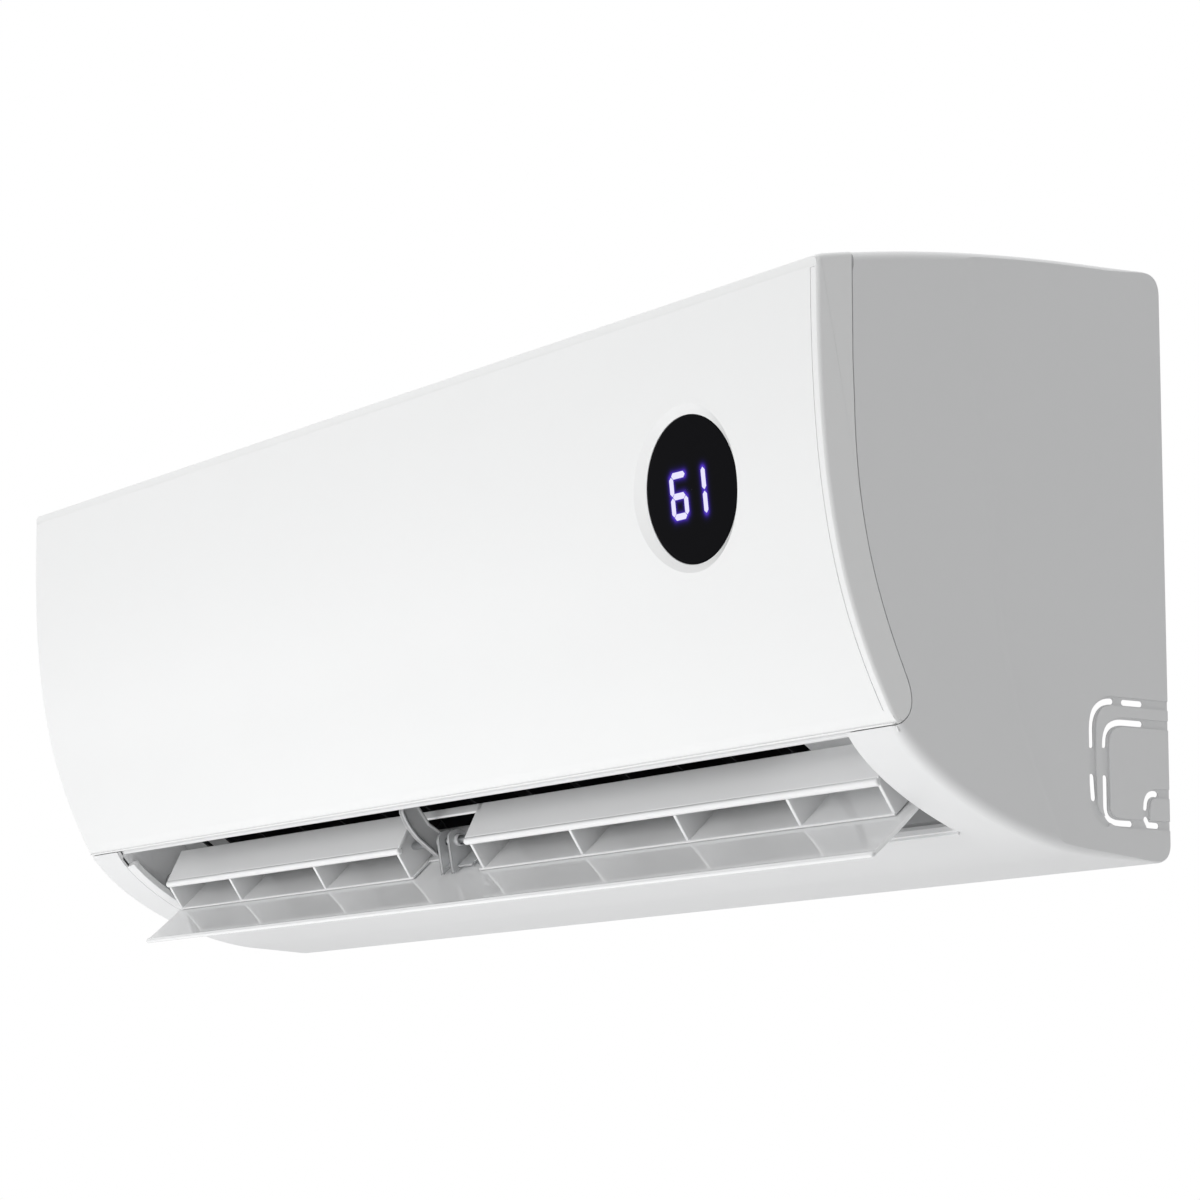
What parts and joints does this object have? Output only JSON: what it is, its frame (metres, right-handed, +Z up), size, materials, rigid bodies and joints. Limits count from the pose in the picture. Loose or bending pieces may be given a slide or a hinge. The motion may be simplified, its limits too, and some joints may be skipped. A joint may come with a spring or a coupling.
{
  "type": "mini split indoor unit",
  "caption": "Wall-mounted air conditioner indoor unit with a curved front panel, round display, open outlet flap, cross-flow fan and coil.",
  "frame": {"origin": "on the wall plane, behind the middle of the unit's width and height", "axes": "+X to the right seen from the front, along the length; -Y out of the wall; +Z up"},
  "size_m": [0.82, 0.2012, 0.2798],
  "materials": {
    "panel_white": "glossy moulded ABS",
    "casing_white": "fine satin moulded ABS",
    "flap_white": "glossy moulded ABS",
    "inner_grey": "satin",
    "black_plastic": "satin",
    "display_glass": "polished",
    "clear_plastic": "translucent, polished",
    "steel": "brushed",
    "zinc_plate": "galvanised",
    "fin_aluminium": "bare fins",
    "copper": "drawn copper",
    "brass": "turned",
    "board": "solder mask",
    "rubber": "matt",
    "filter": "woven plastic mesh in a frame"
  },
  "bodies": {
    "root": {"mounting_plate": "zinc_plate", "chassis": "casing_white", "casing": "casing_white", "flap_bush_left": "clear_plastic", "flap_support": "inner_grey", "flap_motor": "steel", "drain_pan": "black_plastic", "motor_cover": "inner_grey", "fan_bearing": "rubber", "fan_motor": "black_plastic", "motor_bracket": "casing_white", "coil_front": "fin_aluminium", "coil_upper": "fin_aluminium", "coil_rear": "fin_aluminium", "coil_end_left": "copper", "coil_end_right": "copper", "coil_sensor": "copper", "gas_pipe": "copper", "liquid_pipe": "copper", "gas_flare_nut": "brass", "liquid_flare_nut": "brass", "pipe_holder": "casing_white", "control_tray": "casing_white", "control_cover": "casing_white", "control_board": "board", "terminal_block": "black_plastic", "filter_left": "filter", "filter_right": "filter", "case_screw_left": "steel", "case_screw_right": "steel"},
    "panel": {"front_panel": "panel_white", "display_bezel": "panel_white", "display_lens": "display_glass", "display_board": "board"},
    "flap": {"flap_outer": "flap_white", "flap_louver": "flap_white", "flap_axle": "steel", "flap_clip": "clear_plastic", "flap_pin_left": "steel", "flap_coupling": "black_plastic"},
    "fan": {"fan_wheel": "black_plastic", "fan_shaft": "steel"},
    "button": {"manual_button": "panel_white"},
    "vane_left_1": {"vane_left_1": "black_plastic"},
    "vane_left_2": {"vane_left_2": "black_plastic"},
    "vane_left_3": {"vane_left_3": "black_plastic"},
    "vane_left_4": {"vane_left_4": "black_plastic"},
    "vane_left_5": {"vane_left_5": "black_plastic"},
    "vane_left_6": {"vane_left_6": "black_plastic"},
    "vane_right_1": {"vane_right_1": "black_plastic"},
    "vane_right_2": {"vane_right_2": "black_plastic"},
    "vane_right_3": {"vane_right_3": "black_plastic"},
    "vane_right_4": {"vane_right_4": "black_plastic"},
    "vane_right_5": {"vane_right_5": "black_plastic"},
    "vane_right_6": {"vane_right_6": "black_plastic"},
    "link_left": {"vane_link_left": "black_plastic"},
    "link_right": {"vane_link_right": "black_plastic"}
  },
  "joints": [
    {"name": "panel_hinge", "type": "hinge", "parent": "root", "child": "panel", "pos_m": [0, -0.187, 0.123], "axis": [-1, 0, 0], "range_deg": [0, 60]},
    {"name": "flap_hinge", "type": "hinge", "parent": "root", "child": "flap", "pos_m": [0, -0.1202, -0.101], "axis": [1, 0, 0], "range_deg": [-77, 8]},
    {"name": "fan_spin", "type": "hinge", "parent": "root", "child": "fan", "pos_m": [0, -0.088, -0.005], "axis": [1, 0, 0], "continuous": true},
    {"name": "button_press", "type": "slide", "parent": "root", "child": "button", "axis": [0, 1, 0], "range_m": [0, 0.0015], "stiffness_N_per_m": 400, "springref_m": -0.001},
    {"name": "vane_left_1_turn", "type": "hinge", "parent": "root", "child": "vane_left_1", "pos_m": [-0.295, -0.0953, -0.06474], "axis": [0, 0.8243, -0.5662], "range_deg": [-35, 35]},
    {"name": "vane_left_2_turn", "type": "hinge", "parent": "root", "child": "vane_left_2", "pos_m": [-0.246, -0.0953, -0.06474], "axis": [0, 0.8243, -0.5662], "range_deg": [-35, 35]},
    {"name": "vane_left_3_turn", "type": "hinge", "parent": "root", "child": "vane_left_3", "pos_m": [-0.197, -0.0953, -0.06474], "axis": [0, 0.8243, -0.5662], "range_deg": [-35, 35]},
    {"name": "vane_left_4_turn", "type": "hinge", "parent": "root", "child": "vane_left_4", "pos_m": [-0.148, -0.0953, -0.06474], "axis": [0, 0.8243, -0.5662], "range_deg": [-35, 35]},
    {"name": "vane_left_5_turn", "type": "hinge", "parent": "root", "child": "vane_left_5", "pos_m": [-0.099, -0.0953, -0.06474], "axis": [0, 0.8243, -0.5662], "range_deg": [-35, 35]},
    {"name": "vane_left_6_turn", "type": "hinge", "parent": "root", "child": "vane_left_6", "pos_m": [-0.05, -0.0953, -0.06474], "axis": [0, 0.8243, -0.5662], "range_deg": [-35, 35]},
    {"name": "link_left_swing", "type": "hinge", "parent": "vane_left_1", "child": "link_left", "pos_m": [-0.295, -0.12758, -0.05348], "axis": [0, 0.8243, -0.5662], "range_deg": [-35, 35]},
    {"name": "vane_right_1_turn", "type": "hinge", "parent": "root", "child": "vane_right_1", "pos_m": [0.008, -0.0953, -0.06474], "axis": [0, 0.8243, -0.5662], "range_deg": [-35, 35]},
    {"name": "vane_right_2_turn", "type": "hinge", "parent": "root", "child": "vane_right_2", "pos_m": [0.056, -0.0953, -0.06474], "axis": [0, 0.8243, -0.5662], "range_deg": [-35, 35]},
    {"name": "vane_right_3_turn", "type": "hinge", "parent": "root", "child": "vane_right_3", "pos_m": [0.104, -0.0953, -0.06474], "axis": [0, 0.8243, -0.5662], "range_deg": [-35, 35]},
    {"name": "vane_right_4_turn", "type": "hinge", "parent": "root", "child": "vane_right_4", "pos_m": [0.152, -0.0953, -0.06474], "axis": [0, 0.8243, -0.5662], "range_deg": [-35, 35]},
    {"name": "vane_right_5_turn", "type": "hinge", "parent": "root", "child": "vane_right_5", "pos_m": [0.2, -0.0953, -0.06474], "axis": [0, 0.8243, -0.5662], "range_deg": [-35, 35]},
    {"name": "vane_right_6_turn", "type": "hinge", "parent": "root", "child": "vane_right_6", "pos_m": [0.248, -0.0953, -0.06474], "axis": [0, 0.8243, -0.5662], "range_deg": [-35, 35]},
    {"name": "link_right_swing", "type": "hinge", "parent": "vane_right_1", "child": "link_right", "pos_m": [0.008, -0.12758, -0.05348], "axis": [0, 0.8243, -0.5662], "range_deg": [-35, 35]}
  ],
  "couplings": [
    {"joint": "vane_left_2_turn", "follows": "vane_left_1_turn", "ratio": 1},
    {"joint": "vane_left_3_turn", "follows": "vane_left_1_turn", "ratio": 1},
    {"joint": "vane_left_4_turn", "follows": "vane_left_1_turn", "ratio": 1},
    {"joint": "vane_left_5_turn", "follows": "vane_left_1_turn", "ratio": 1},
    {"joint": "vane_left_6_turn", "follows": "vane_left_1_turn", "ratio": 1},
    {"joint": "link_left_swing", "follows": "vane_left_1_turn", "ratio": -1},
    {"joint": "vane_right_2_turn", "follows": "vane_right_1_turn", "ratio": 1},
    {"joint": "vane_right_3_turn", "follows": "vane_right_1_turn", "ratio": 1},
    {"joint": "vane_right_4_turn", "follows": "vane_right_1_turn", "ratio": 1},
    {"joint": "vane_right_5_turn", "follows": "vane_right_1_turn", "ratio": 1},
    {"joint": "vane_right_6_turn", "follows": "vane_right_1_turn", "ratio": 1},
    {"joint": "link_right_swing", "follows": "vane_right_1_turn", "ratio": -1}
  ]
}
